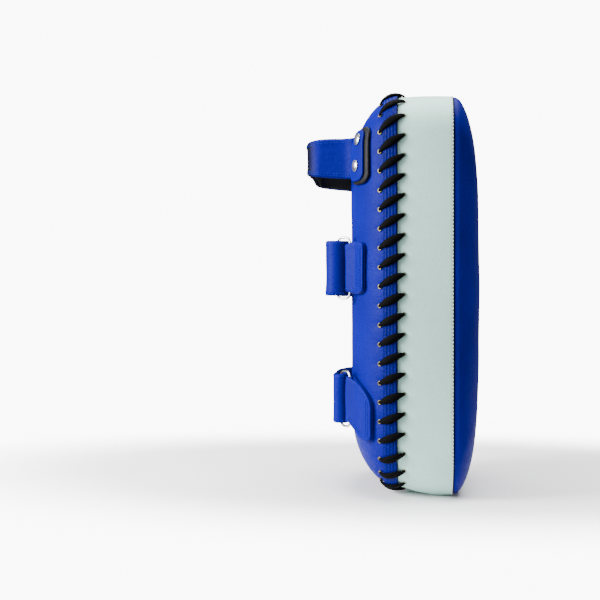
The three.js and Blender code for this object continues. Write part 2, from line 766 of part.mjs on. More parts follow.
const drills = [['left', -1], ['right', 1]].map(([side, sign]) => handleFoot(side, sign));
const lacedBack = toSolid(punched(backCover(), backHoles));
addMesh('back_cover', fromSolid(lacedBack.subtract(wasm.Manifold.union(drills))), BLUE);
addMesh('back_hem_band', hemBand(), DARK_BLUE);
addMesh('lace', lace(), BLACK);

const OUTER_LEATHER = 2;
const CORE_STRIP = 1.6;
const LINING = 1.4;
addMesh('handle_loop', handleLayer(0, OUTER_LEATHER, 0), BLUE);
addMesh('handle_core', handleLayer(OUTER_LEATHER + GAP, CORE_STRIP, 3), BOARD);
addMesh('handle_lining', handleLayer(OUTER_LEATHER + CORE_STRIP + 2 * GAP, LINING, 0), BLACK);

forearmStrap('upper', UPPER_STRAP);
forearmStrap('lower', LOWER_STRAP);

export default pad;
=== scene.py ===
# The thai pad's finished look: leather covers, laced hem, handle, straps and hardware,
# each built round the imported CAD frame. Shapes are worked out in millimetres and written
# in metres, in the same axes as the CAD: +Z up, striking face to -Y, straps to +Y.

from math import cos, pi, radians, sin

import bpy
import numpy as np
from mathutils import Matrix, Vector, noise

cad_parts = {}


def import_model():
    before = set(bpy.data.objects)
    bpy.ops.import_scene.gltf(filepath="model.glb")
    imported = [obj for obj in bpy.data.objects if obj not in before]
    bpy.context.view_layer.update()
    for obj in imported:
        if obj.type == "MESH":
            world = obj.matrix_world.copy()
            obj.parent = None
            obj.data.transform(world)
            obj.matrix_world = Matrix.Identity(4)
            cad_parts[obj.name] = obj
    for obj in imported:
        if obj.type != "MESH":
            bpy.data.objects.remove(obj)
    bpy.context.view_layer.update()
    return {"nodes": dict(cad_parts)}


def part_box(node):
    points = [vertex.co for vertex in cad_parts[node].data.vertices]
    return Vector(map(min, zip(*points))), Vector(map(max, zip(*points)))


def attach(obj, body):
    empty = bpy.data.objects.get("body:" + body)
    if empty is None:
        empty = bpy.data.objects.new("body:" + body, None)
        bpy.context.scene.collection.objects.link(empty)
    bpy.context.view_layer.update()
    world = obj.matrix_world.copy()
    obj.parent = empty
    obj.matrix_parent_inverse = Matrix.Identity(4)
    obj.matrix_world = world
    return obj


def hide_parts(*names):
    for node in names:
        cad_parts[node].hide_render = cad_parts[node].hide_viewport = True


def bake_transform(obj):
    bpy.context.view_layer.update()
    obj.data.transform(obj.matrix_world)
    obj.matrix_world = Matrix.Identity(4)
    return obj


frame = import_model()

MM = 0.001


def node_box(node):
    low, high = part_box(node)
    return np.array(low) / MM, np.array(high) / MM


# ------------------------------------------------------------------ sizes from the frame

GUSSET_HIGH = node_box("gusset_band")[1]
STRIKE_LOW, STRIKE_HIGH = node_box("striking_cover")
BACK_LOW, BACK_HIGH = node_box("back_cover")

HEIGHT = GUSSET_HIGH[2]
HALF_WIDTH = GUSSET_HIGH[0]
SEAM_Y = STRIKE_HIGH[1]                 # where the striking cover meets the gusset
EDGE_Y = -SEAM_Y                        # the laced edge
CROWN = SEAM_Y - STRIKE_LOW[1]
BACK_DEPTH = BACK_HIGH[1] - EDGE_Y
EDGE_LIFT = BACK_LOW[2]                 # the lace pulls the bottom edge up by this much
TOP_RADIUS = 40
BOTTOM_RADIUS = 52
CROWN_POWER = 3.2
BACK_ROLL = 78
BACK_END_RADIUS = 17
REST_Y = -12                            # the bottom is flat from the seam to here
HEM_WIDTH = 13.5
HEM_TOP = 2.25                          # how far the doubled hem stands out of the back
HEM_ROWS = (2.6, 5.6, 8.6, 11.6)        # stitched rows, as distances from the laced edge

LACE_PITCH = 19.7
LACE_RISE = 12.6
BACK_HOLE = 17
GUSSET_HOLE = 6.5

THREAD_STEP = 3.2
THREAD_LENGTH = 2.4
THREAD_RADIUS = 0.33
THREAD_RISE = 0.2

rng = np.random.default_rng(11)


def unit(vectors):
    return vectors / np.linalg.norm(vectors, axis=-1, keepdims=True)


def bell(offset, width):
    """1 where the offset is 0, falling to 0 over about twice the width."""
    return np.exp(-(offset / width) ** 2)


def distances_along(line):
    return np.concatenate([[0], np.cumsum(np.linalg.norm(np.diff(line, axis=0), axis=1))])


# ------------------------------------------------------------------ outline and surfaces

SEGMENTS = 9
SEGMENT_LENGTHS = np.array([
    HALF_WIDTH - BOTTOM_RADIUS,
    BOTTOM_RADIUS * pi / 2,
    HEIGHT - TOP_RADIUS - BOTTOM_RADIUS,
    TOP_RADIUS * pi / 2,
    2 * (HALF_WIDTH - TOP_RADIUS),
    TOP_RADIUS * pi / 2,
    HEIGHT - TOP_RADIUS - BOTTOM_RADIUS,
    BOTTOM_RADIUS * pi / 2,
    HALF_WIDTH - BOTTOM_RADIUS,
])
SEGMENT_ENDS = np.concatenate([[0], np.cumsum(SEGMENT_LENGTHS)])
PERIMETER = SEGMENT_ENDS[-1]


def place_at(distance):
    """Segment number plus fraction, for distances walked along the outline."""
    return np.interp(np.mod(distance, PERIMETER), SEGMENT_ENDS, np.arange(SEGMENTS + 1))


def outline(place, inset=0.0, top=TOP_RADIUS, bottom=BOTTOM_RADIUS, lift=0.0):
    """Points (x, z) of the rounded outline and their outward normals."""
    place, inset, top, bottom, lift = np.broadcast_arrays(
        *(np.asarray(value, float) for value in (place, inset, top, bottom, lift)))
    half = HALF_WIDTH - inset
    low = inset + lift
    high = HEIGHT - inset
    segment = np.minimum(np.floor(place).astype(int), SEGMENTS - 1)
    share = place - segment
    bx = half - bottom
    tx = half - top
    x, z, nx, nz = (np.zeros_like(share) for _ in range(4))

    def line(k, x0, z0, x1, z1, normal):
        at = segment == k
        x[at] = (x0 + (x1 - x0) * share)[at]
        z[at] = (z0 + (z1 - z0) * share)[at]
        nx[at], nz[at] = normal

    def arc(k, cx, cz, radius, start):
        at = segment == k
        angle = np.radians(start - 90 * share)
        x[at] = (cx + radius * np.cos(angle))[at]
        z[at] = (cz + radius * np.sin(angle))[at]
        nx[at] = np.cos(angle)[at]
        nz[at] = np.sin(angle)[at]

    line(0, 0 * bx, low, -bx, low, (0, -1))
    arc(1, -bx, low + bottom, bottom, 270)
    line(2, -half, low + bottom, -half, high - top, (-1, 0))
    arc(3, -tx, high - top, top, 180)
    line(4, -tx, high, tx, high, (0, 1))
    arc(5, tx, high - top, top, 90)
    line(6, half, high - top, half, low + bottom, (1, 0))
    arc(7, bx, low + bottom, bottom, 0)
    line(8, bx, low, 0 * bx, low, (0, -1))
    return x, z, nx, nz


def gusset_lift(y):
    rise = np.clip((y - REST_Y) / (EDGE_Y - REST_Y), 0, 1)
    return EDGE_LIFT * rise ** 1.4


def laced_surface(place, depth, offset):
    """Points of the gusset (depth below 0) and of the domed back (depth above 0)."""
    place, depth, offset = np.broadcast_arrays(
        *(np.asarray(value, float) for value in (place, depth, offset)))
    sine = np.clip(depth / BACK_DEPTH, 0, 1)
    cosine = np.sqrt(1 - sine ** 2)
    share = 1 - cosine
    top = TOP_RADIUS + (BACK_END_RADIUS - TOP_RADIUS) * share
    bottom = BOTTOM_RADIUS + (BACK_END_RADIUS - BOTTOM_RADIUS) * share
    y = EDGE_Y + depth
    lift = np.where(depth > 0, EDGE_LIFT, gusset_lift(y))
    x, z, nx, nz = outline(place, BACK_ROLL * share, top, bottom, lift)
    across = cosine / BACK_ROLL
    along = sine / BACK_DEPTH
    length = np.hypot(across, along)
    across, along = across / length, along / length
    return np.stack([
        x + nx * offset * across, y + offset * along, z + nz * offset * across], axis=-1)


def back_ring_distance(x, z, share):
    top = TOP_RADIUS + (BACK_END_RADIUS - TOP_RADIUS) * share
    bottom = BOTTOM_RADIUS + (BACK_END_RADIUS - BOTTOM_RADIUS) * share
    middle = (HEIGHT + EDGE_LIFT) / 2
    half = (HEIGHT - EDGE_LIFT) / 2
    radius = np.where(z > middle, top, bottom)
    qx = np.abs(x) - (HALF_WIDTH - BACK_ROLL * share - radius)
    qz = np.abs(z - middle) - (half - BACK_ROLL * share - radius)
    outside = np.hypot(np.maximum(qx, 0), np.maximum(qz, 0))
    return outside + np.minimum(np.maximum(qx, qz), 0) - radius


def back_height(x, z):
    """y of the domed back above a point (x, z)."""
    x, z = np.broadcast_arrays(np.asarray(x, float), np.asarray(z, float))
    low, high = np.zeros_like(x), np.ones_like(x)
    for _ in range(26):
        middle = (low + high) / 2
        inside = back_ring_distance(x, z, middle) < 0
        low = np.where(inside, middle, low)
        high = np.where(inside, high, middle)
    return EDGE_Y + BACK_DEPTH * np.sqrt(np.maximum(0, 1 - (1 - low) ** 2))


def on_back(x, z, offset):
    step = 0.5
    slope_x = (back_height(x + step, z) - back_height(x - step, z)) / (2 * step)
    slope_z = (back_height(x, z + step) - back_height(x, z - step)) / (2 * step)
    normal = np.stack([-slope_x, np.ones_like(slope_x), -slope_z], axis=-1)
    normal = unit(normal)
    foot = np.stack(np.broadcast_arrays(
        np.asarray(x, float), back_height(x, z), np.asarray(z, float)), axis=-1)
    return foot + normal * np.asarray(offset, float)[..., None]


# ------------------------------------------------------------------ mesh helpers

def make_object(name, points, faces, material, body, slot):
    mesh = bpy.data.meshes.new(name)
    mesh.from_pydata((np.asarray(points, float) * MM).tolist(), [], faces)
    mesh.validate()
    mesh.update()
    mesh.shade_smooth()
    mesh.materials.append(material)
    piece = bpy.data.objects.new(name, mesh)
    bpy.context.scene.collection.objects.link(piece)
    if body is not None:
        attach(piece, body)
    return piece


def loft(rings, closed=False):
    """Points and outward faces of a body through rings of shape (rings, count, 3)."""
    rings = np.asarray(rings, float)
    total, count = rings.shape[:2]
    points = rings.reshape(-1, 3)
    here = np.arange(count)
    after = (here + 1) % count
    faces = []
    for r in range(total if closed else total - 1):
        a, b = r * count, ((r + 1) % total) * count
        quads = np.stack([a + here, a + after, b + after, b + here], axis=1)
        faces.extend(quads.tolist())
    if not closed:
        faces.append(list(range(count))[::-1])
        faces.append([(total - 1) * count + i for i in range(count)])
    volume = 0.0
    for r in range(total if closed else total - 1):
        p, q = rings[r], rings[(r + 1) % total]
        p2, q2 = np.roll(p, -1, axis=0), np.roll(q, -1, axis=0)
        volume += np.einsum("ij,ij->", p, np.cross(p2, q2)) + np.einsum("ij,ij->", p, np.cross(q2, q))
    if not closed:
        for ring, sign in ((rings[0], -1), (rings[-1], 1)):
            middle = ring.mean(axis=0)
            volume += sign * np.einsum("ij,ij->", middle[None] * np.ones_like(ring),
                                       np.cross(ring, np.roll(ring, -1, axis=0)))
    if volume < 0:
        faces = [face[::-1] for face in faces]
    return points, faces


def merged(parts):
    """One set of points and faces from several."""
    points, faces, start = [], [], 0
    for part_points, part_faces in parts:
        points.append(np.asarray(part_points, float))
        faces.extend([[start + i for i in face] for face in part_faces])
        start += len(part_points)
    return np.concatenate(points), faces


def soft_noise(points, size, strength, seed=0.0):
    """Smooth bumps of one size, one value for each point."""
    offset = Vector((seed, seed * 0.7, seed * 1.3))
    return np.array([noise.noise(Vector(p) / size + offset) for p in points]) * strength


def softened(mesh):
    """A strap's points and faces, with the slow waves that use puts into soft leather. Pieces
    that lie on each other move together."""
    points, faces = mesh
    waves = [soft_noise(points, 26, 0.9, seed) for seed in (2.0, 17.0, 31.0)]
    return points + np.stack(waves, axis=1) * [0.6, 1.0, 0.8], faces


def stitches(starts, ends, outward, radius, rise):
    """Short raised threads from starts to ends, one closed body each."""
    sides, steps = 6, 5
    along = ends - starts
    length = np.linalg.norm(along, axis=1, keepdims=True)
    along = along / length
    side = np.cross(along, outward)
    side = unit(side)
    up = np.cross(side, along)
    parts = []
    shares = np.linspace(0, 1, steps)
    swell = np.array([0.35, 0.85, 1.0, 0.85, 0.35])
    lift = np.array([-0.3, 0.7, 1.0, 0.7, -0.3])
    angles = np.arange(sides) * 2 * pi / sides
    for k in range(len(starts)):
        rings = []
        for share, width, height in zip(shares, swell, lift):
            middle = starts[k] + along[k] * length[k] * share + up[k] * rise * height
            rings.append([middle + radius * width * (cos(a) * side[k] + sin(a) * up[k])
                          for a in angles])
        parts.append(loft(np.array(rings)))
    return merged(parts)


def stitch_row(distances, depth, offset, length):
    """Start and end points of stitches along the laced edge at one depth."""
    start = laced_surface(place_at(distances), depth, offset)
    end = laced_surface(place_at(distances + length), depth, offset)
    outward = laced_surface(place_at(distances + length / 2), depth, offset + 5) - (start + end) / 2
    outward = unit(outward)
    return start, end, outward


# ------------------------------------------------------------------ materials

def new_material(name):
    material = bpy.data.materials.new(name)
    material.use_nodes = True
    material.node_tree.nodes.clear()
    output = add_node(material, "ShaderNodeOutputMaterial")
    shader = add_node(material, "ShaderNodeBsdfPrincipled")
    link(material, shader.outputs["BSDF"], output.inputs["Surface"])
    coordinates = add_node(material, "ShaderNodeTexCoord")
    return material, shader, coordinates.outputs["Object"]


def add_node(material, kind, **settings):
    node = material.node_tree.nodes.new(kind)
    for key, value in settings.items():
        if key in node.inputs:
            node.inputs[key].default_value = value
        else:
            setattr(node, key, value)
    return node


def link(material, source, target):
    material.node_tree.links.new(source, target)


def placed(material, place, kind, **settings):
    """A node that takes its place from a vector."""
    node = add_node(material, kind, **settings)
    link(material, place, node.inputs["Vector"])
    return node


def colour_ramp(material, source, stops):
    ramp = add_node(material, "ShaderNodeValToRGB")
    elements = ramp.color_ramp.elements
    while len(elements) < len(stops):
        elements.new(0.5)
    for element, (position, colour) in zip(elements, stops):
        element.position = position
        element.color = (*colour, 1)
    link(material, source, ramp.inputs["Fac"])
    return ramp.outputs["Color"]


def value_range(material, source, low, high):
    scale = add_node(material, "ShaderNodeMapRange", **{"To Min": low, "To Max": high})
    link(material, source, scale.inputs["Value"])
    return scale.outputs["Result"]


def bump(material, height, distance, strength, normal=None):
    node = add_node(material, "ShaderNodeBump", Distance=distance, Strength=strength)
    link(material, height, node.inputs["Height"])
    if normal is not None:
        link(material, normal, node.inputs["Normal"])
    return node.outputs["Normal"]


def leather(name, dark, light, rough=(0.45, 0.62), grain=650, depth=0.0003, shine=0.055,
            wrinkle=0.0, painted_shade_span=None):
    """Grained leather: cloudy dye, small pebbled cells, fine creases and uneven polish. wrinkle is
    the depth of longer creases along Y; the last argument is the range of Y over which the colour darkens
    into painted shade."""
    material, shader, place = new_material(name)
    cloud = placed(material, place, "ShaderNodeTexNoise", Scale=14.0, Detail=5.0, Roughness=0.55)
    pebble = add_node(material, "ShaderNodeTexVoronoi", Scale=float(grain), Randomness=0.9)
    pebble.feature = "SMOOTH_F1"
    pebble.inputs["Smoothness"].default_value = 0.55
    link(material, place, pebble.inputs["Vector"])
    crease = placed(material, place, "ShaderNodeTexNoise", Scale=grain * 0.28, Detail=8.0,
                    Roughness=0.66, Distortion=0.5)
    colour = colour_ramp(material, cloud.outputs["Fac"], [(0.3, dark), (0.72, light)])
    speck = add_node(material, "ShaderNodeMix", data_type="RGBA", blend_type="MULTIPLY", Factor=0.35)
    link(material, colour, speck.inputs["A"])
    link(material, colour_ramp(material, pebble.outputs["Distance"],
                               [(0.15, (1.0, 1.0, 1.0)), (0.9, (0.55, 0.55, 0.6))]), speck.inputs["B"])
    shade = speck.outputs["Result"]
    # painted shade: past the given range of Y the colour is mixed towards near-black, standing in for
    # shadow
    if painted_shade_span:
        axes = placed(material, place, "ShaderNodeSeparateXYZ")
        # mask of the painted shade along Y
        use = add_node(material, "ShaderNodeMapRange", interpolation_type="SMOOTHSTEP",
                       **{"From Min": painted_shade_span[0], "From Max": painted_shade_span[1]})
        link(material, axes.outputs["Y"], use.inputs["Value"])
        painted_shade_mix = add_node(material, "ShaderNodeMix", data_type="RGBA")
        link(material, use.outputs["Result"], painted_shade_mix.inputs["Factor"])
        link(material, shade, painted_shade_mix.inputs["A"])
        painted_shade_mix.inputs["B"].default_value = (0.0004, 0.0008, 0.008, 1)
        shade = painted_shade_mix.outputs["Result"]
    link(material, shade, shader.inputs["Base Color"])
    link(material, value_range(material, crease.outputs["Fac"], *rough), shader.inputs["Roughness"])
    fine = bump(material, pebble.outputs["Distance"], depth, 0.6)
    if wrinkle:
        stretch = placed(material, place, "ShaderNodeMapping", Scale=(1.0, 0.3, 1.0),
                         Rotation=(0.5, 0, 0))
        long_crease = placed(material, stretch.outputs["Vector"], "ShaderNodeTexNoise", Scale=230.0,
                             Detail=6.0, Roughness=0.6, Distortion=0.8)
        fine = bump(material, long_crease.outputs["Fac"], wrinkle, 0.8, fine)
    link(material, bump(material, crease.outputs["Fac"], depth * 2.2, 0.45, fine),
         shader.inputs["Normal"])
    shader.inputs["Specular IOR Level"].default_value = shine
    return material


def cord_material(name, dark, light, scale=900.0):
    """Braided or twisted thread: crossing diagonal strands with a dull sheen."""
    material, shader, place = new_material(name)
    waves = []
    for turn in (0.9, -0.9):
        spin = placed(material, place, "ShaderNodeMapping", Rotation=(turn, turn * 0.6, 0.4))
        wave = placed(material, spin.outputs["Vector"], "ShaderNodeTexWave", Scale=scale / 3,
                      Distortion=1.2, Detail=2.0)
        waves.append(wave.outputs["Fac"])
    weave = add_node(material, "ShaderNodeMath", operation="MAXIMUM")
    link(material, waves[0], weave.inputs[0])
    link(material, waves[1], weave.inputs[1])
    link(material, colour_ramp(material, weave.outputs[0], [(0.25, dark), (0.95, light)]),
         shader.inputs["Base Color"])
    link(material, bump(material, weave.outputs[0], 0.00025, 0.6), shader.inputs["Normal"])
    link(material, value_range(material, weave.outputs[0], 0.85, 0.62), shader.inputs["Roughness"])
    shader.inputs["Specular IOR Level"].default_value = 0.03
    return material


def metal(name, colour, rough=(0.12, 0.3)):
    """Plated metal with a faint mottled haze and a little tarnish."""
    material, shader, place = new_material(name)
    haze = placed(material, place, "ShaderNodeTexNoise", Scale=160.0, Detail=6.0, Roughness=0.6)
    dull = tuple(0.62 * part for part in colour)
    link(material, colour_ramp(material, haze.outputs["Fac"], [(0.25, dull), (0.62, colour)]),
         shader.inputs["Base Color"])
    link(material, value_range(material, haze.outputs["Fac"], *rough), shader.inputs["Roughness"])
    link(material, bump(material, haze.outputs["Fac"], 0.00003, 0.3), shader.inputs["Normal"])
    shader.inputs["Metallic"].default_value = 1.0
    return material


def fibrous(name, dark, light, scale, depth):
    """Hook and loop tape, foam or board: a dense field of small tufts or cells."""
    material, shader, place = new_material(name)
    tufts = placed(material, place, "ShaderNodeTexVoronoi", Scale=float(scale), Randomness=0.8)
    fuzz = placed(material, place, "ShaderNodeTexNoise", Scale=scale * 1.7, Detail=4.0)
    link(material, colour_ramp(material, tufts.outputs["Distance"], [(0.1, light), (0.8, dark)]),
         shader.inputs["Base Color"])
    rounded = bump(material, tufts.outputs["Distance"], depth, 0.7)
    link(material, bump(material, fuzz.outputs["Fac"], depth, 0.5, rounded), shader.inputs["Normal"])
    link(material, value_range(material, fuzz.outputs["Fac"], 0.8, 1.0), shader.inputs["Roughness"])
    shader.inputs["Specular IOR Level"].default_value = 0.15
    return material


BLUE = leather("royal_blue_leather", (0.0, 0.0004, 0.125), (0.0004, 0.0008, 0.18))
BACK_BLUE = leather("creased_blue_leather", (0.0, 0.0004, 0.125), (0.0004, 0.0008, 0.18),
                    wrinkle=0.0011)
# The handle's leather, a touch darker than the other blue; its grip end, past Y 0.108-0.119 m, is
# darkened as painted shade.
GRIP_BLUE = leather("handle_blue_leather_painted_shade", (0.0, 0.0004, 0.11), (0.0004, 0.0008, 0.165),
                    wrinkle=0.0007, painted_shade_span=(0.108, 0.119))
HEM = leather("blue_hem_leather", (0.0, 0.0005, 0.07), (0.0005, 0.001, 0.12), (0.4, 0.6),
              grain=520, depth=0.0003, wrinkle=0.0008)
# Near-black, painted shade: the dark line of shadow along the front seam, given to the welt there.
SEAM_SHADE = leather("seam_shade_welt_leather", (0.0, 0.0002, 0.004), (0.0003, 0.0006, 0.012), (0.5, 0.7))
# The gusset is white leather; this grey-green colour paints in the shade and the tint of the light it
# sits in.
PALE = leather("pale_gusset_leather", (0.36, 0.58, 0.51), (0.41, 0.65, 0.57), (0.42, 0.56),
               grain=760, depth=0.00006, shine=0.25)
BLACK = leather("black_leather", (0.002, 0.002, 0.003), (0.005, 0.005, 0.008), (0.5, 0.7), shine=0.15)
LACE = cord_material("black_braided_lace", (0.0002, 0.0002, 0.0003), (0.0018, 0.0018, 0.0022))
BLUE_THREAD = cord_material("blue_thread", (0.0, 0.002, 0.16), (0.008, 0.014, 0.36), 2600.0)
LIGHT_THREAD = cord_material("light_blue_thread", (0.001, 0.005, 0.15), (0.010, 0.018, 0.36), 2600.0)
WHITE_THREAD = cord_material("white_thread", (0.55, 0.66, 0.62), (0.85, 0.92, 0.9), 2600.0)
STEEL = metal("nickel_steel", (0.50, 0.51, 0.52), (0.2, 0.4))
BRASS = metal("eyelet_brass", (0.20, 0.165, 0.055), (0.3, 0.5))
TAPE = fibrous("hook_and_loop_tape", (0.0015, 0.0015, 0.002), (0.012, 0.012, 0.014), 1500, 0.0003)
FOAM = fibrous("closed_cell_foam", (0.42, 0.38, 0.30), (0.66, 0.61, 0.50), 500, 0.0002)
BOARD = fibrous("pressed_board", (0.12, 0.09, 0.06), (0.30, 0.23, 0.15), 300, 0.0001)


# ------------------------------------------------------------------ covers and gusset

RING_POINTS = 444
RING_DISTANCES = np.arange(RING_POINTS) * PERIMETER / RING_POINTS
RING_PLACES = place_at(RING_DISTANCES)
SHELL = 1.6
STITCH_COUNT = round(PERIMETER / LACE_PITCH)
STITCH_STEP = PERIMETER / STITCH_COUNT
BACK_DISTANCES = np.arange(STITCH_COUNT) * STITCH_STEP + (STITCH_STEP - LACE_RISE) / 2
GUSSET_DISTANCES = BACK_DISTANCES + LACE_RISE


def pull_at(distances, holes, reach):
    """1 at the lace holes and 0 away from them, along the edge."""
    apart = np.abs(np.asarray(distances)[:, None] - holes[None, :])
    apart = np.minimum(apart, PERIMETER - apart)
    return bell(apart, reach).max(axis=1)


def crown_ring(share, drop):
    height = (CROWN - drop) * np.sqrt(1 - (1 - share) ** CROWN_POWER)
    drop += 1.0 * np.exp(-share / 0.004)        # the seam draws the edge in
    x, z, _, _ = outline(RING_PLACES, drop, TOP_RADIUS - drop, BOTTOM_RADIUS - drop)
    middle = HEIGHT / 2
    return np.stack([
        x * (1 - share), np.full_like(x, SEAM_Y - height), middle + (z - middle) * (1 - share)],
        axis=-1)


def striking_cover():
    shares = 0.985 * np.linspace(0, 1, 46)[::-1] ** 1.9
    outside = np.array([crown_ring(share, 0) for share in shares])
    flat = outside.reshape(-1, 3)
    fade = np.repeat(np.clip(shares / 0.06, 0, 1), RING_POINTS)
    flat[:, 1] += fade * (soft_noise(flat, 70, 1.1, 3.0) + soft_noise(flat, 26, 0.28, 8.0))
    outside = flat.reshape(outside.shape)
    # the seam draws the edge in a little at each stitch
    edge = shares < 0.012
    wave = 0.28 * np.sin(RING_DISTANCES * 2 * pi / 7.3 + 2 * np.sin(RING_DISTANCES / 21))
    outside[edge, :, 1] += wave * 0.5
    inside = np.array([crown_ring(share, SHELL) for share in shares[::6]])[::-1]
    return loft(np.concatenate([outside, inside]))


def gusset():
    depths = np.concatenate([
        [-2 * EDGE_Y + 0.1, -2 * EDGE_Y + 0.5, -2 * EDGE_Y + 1.4],
        np.linspace(-2 * EDGE_Y + 3, -3, 18), [-1.6, -0.7, -0.2]])
    across = (depths + 2 * EDGE_Y) / (2 * EDGE_Y)
    round_edge = np.interp(depths, [-2 * EDGE_Y, -2 * EDGE_Y + 1.4, -1.5, 0], [-0.9, 0, 0, -0.9])
    belly = 0.9 * np.sin(pi * across) ** 0.8
    pull = pull_at(RING_DISTANCES, GUSSET_DISTANCES, 3.4)
    rows = []
    for depth, soft, bulge in zip(depths, round_edge, belly):
        near_hole = bell(depth + GUSSET_HOLE, 4.5)
        offset = soft + bulge - 1.0 * pull * near_hole
        rows.append(laced_surface(RING_PLACES, depth, offset))
    outside = np.array(rows)
    inside = np.array([laced_surface(RING_PLACES, depth, -2.2) for depth in depths[::-3]])
    flat = outside.reshape(-1, 3)
    lifted = soft_noise(flat, 55, 0.35, 5.0)
    centre = np.array([0, 0, HEIGHT / 2])
    outward = (flat - centre) * [1, 0, 1]
    outward = unit(outward)
    keep_flat = np.clip(flat[:, 2] / 6, 0, 1)
    flat += outward * (lifted * keep_flat)[:, None]
    flat[:, 2] = np.maximum(flat[:, 2], 0.0)
    return loft(np.concatenate([flat.reshape(outside.shape), inside]), closed=True)


def back_cover():
    turns = np.radians(np.concatenate([
        [89.5, 84, 78, 72], np.linspace(66, 24, 20), np.linspace(22, 1.2, 16), [0.4]]))
    pull = pull_at(RING_DISTANCES, BACK_DISTANCES, 3.6)
    rows = []
    for turn in turns:
        depth = BACK_DEPTH * np.sin(turn)
        hole = bell(depth - BACK_HOLE, 4.0)
        crease = bell(depth - BACK_HOLE - 9, 7.0)
        offset = -1.1 * pull * hole - 0.25 * pull * crease
        rows.append(laced_surface(RING_PLACES, depth, offset))
    outside = np.array(rows)
    flat = outside.reshape(-1, 3)
    fade = np.repeat(np.clip((BACK_DEPTH * np.sin(turns) - 16) / 18, 0, 1), RING_POINTS)
    flat[:, 1] += fade * (soft_noise(flat, 60, 1.0, 12.0) + soft_noise(flat, 22, 0.3, 4.0) - 0.5)
    inside_turns = turns[::-5]
    inside = np.array([
        laced_surface(RING_PLACES, BACK_DEPTH * np.sin(turn), -2.2) for turn in inside_turns])
    return loft(np.concatenate([flat.reshape(outside.shape), inside]))


def hem_band():
    depths = np.concatenate([
        [0.1, 0.5], np.linspace(1.2, HEM_WIDTH - 1, 26), [HEM_WIDTH - 0.4, HEM_WIDTH]])
    top = []
    for depth in depths:
        groove = bell(depth - np.array(HEM_ROWS), 0.55).max()
        edge = min(depth, HEM_WIDTH - depth)
        rounded = HEM_TOP * np.sqrt(1 - (1 - min(edge / 1.1, 1)) ** 2)
        ripple = 0.12 * np.sin(RING_DISTANCES * 2 * pi / 3.4 + depth)
        top.append(laced_surface(
            RING_PLACES, depth, 0.35 + rounded - 0.5 * groove + ripple * (1 - groove)))
    under = [laced_surface(RING_PLACES, depth, 0.2) for depth in (HEM_WIDTH, HEM_WIDTH / 2, 0.1)]
    return loft(np.array(top + under), closed=True)


def hem_threads():
    step, length = 3.3, 2.6
    count = int(PERIMETER / step)
    distances = np.arange(count) * PERIMETER / count
    rows = [stitch_row(distances + 0.8 * k, depth, HEM_TOP - 0.12, length)
            for k, depth in enumerate(HEM_ROWS)]
    starts, ends, outward = (np.concatenate(part) for part in zip(*rows))
    return stitches(starts, ends, outward, 0.34, 0.22)


def seam_threads():
    """White stitches on the gusset along the front seam."""
    step, length = 3.6, 2.2
    count = int(PERIMETER / step)
    distances = np.arange(count) * PERIMETER / count
    rows = stitch_row(distances, -2 * EDGE_Y + 0.7, 0.0, length)
    return stitches(*rows, 0.45, 0.3)


def seam_shade_welt():
    """A welt folded into the front seam, coloured near-black as painted shade for the seam's shadow."""
    turns = np.arange(8) * pi / 4
    rows = [laced_surface(RING_PLACES, -2 * EDGE_Y - 0.15 + 0.6 * np.cos(turn),
                          -0.3 + 0.6 * np.sin(turn)) for turn in turns]
    return loft(np.array(rows), closed=True)


# ------------------------------------------------------------------ lace and eyelets

def lace():
    sides = 12
    angles = np.arange(sides) * 2 * pi / sides
    outer = np.array([0.0, 0.02, 0.07, 0.14, 0.24, 0.36, 0.5, 0.64, 0.76, 0.86, 0.93, 0.98, 1.0])
    stations = []
    for back in BACK_DISTANCES:
        wobble = rng.uniform(-0.5, 0.5)
        fat = rng.uniform(0.92, 1.08)
        stations.append((back, BACK_HOLE, -4.4, 1.2, 1.0))
        stations.append((back, BACK_HOLE, -1.2, 1.3, 1.0))
        for share in outer:
            swell = sin(pi * share)
            arch = swell ** 0.55 if swell > 0 else 0.0
            depth = BACK_HOLE - (BACK_HOLE + GUSSET_HOLE) * share
            offset = 0.5 + (HEM_TOP + 1.5) * arch * (1 - 0.25 * share)
            width = 1.25 + 2.75 * fat * max(swell, 0.0) ** 0.8
            thick = 0.95 + 0.75 * max(swell, 0.0) ** 0.7
            distance = back + LACE_RISE * share + wobble * max(swell, 0.0)
            stations.append((distance, depth, offset, width, thick))
        gusset_end = back + LACE_RISE
        stations.append((gusset_end, -GUSSET_HOLE, -1.2, 1.3, 1.0))
        stations.append((gusset_end, -GUSSET_HOLE, -4.4, 1.2, 1.0))
    distance, depth, offset, width, thick = np.array(stations).T
    centre = laced_surface(place_at(distance), depth, offset)
    tangent = laced_surface(place_at(distance + 1), depth, 0) - laced_surface(
        place_at(distance - 1), depth, 0)
    tangent = unit(tangent)
    along = np.gradient(centre, axis=0)
    along = unit(along)
    side = tangent - along * np.einsum("ij,ij->i", tangent, along)[:, None]
    side = unit(side)
    upper = np.cross(side, along)
    ring = (centre[:, None] + width[:, None, None] * np.cos(angles)[None, :, None] * side[:, None]
            + thick[:, None, None] * np.sin(angles)[None, :, None] * upper[:, None])
    return loft(ring)


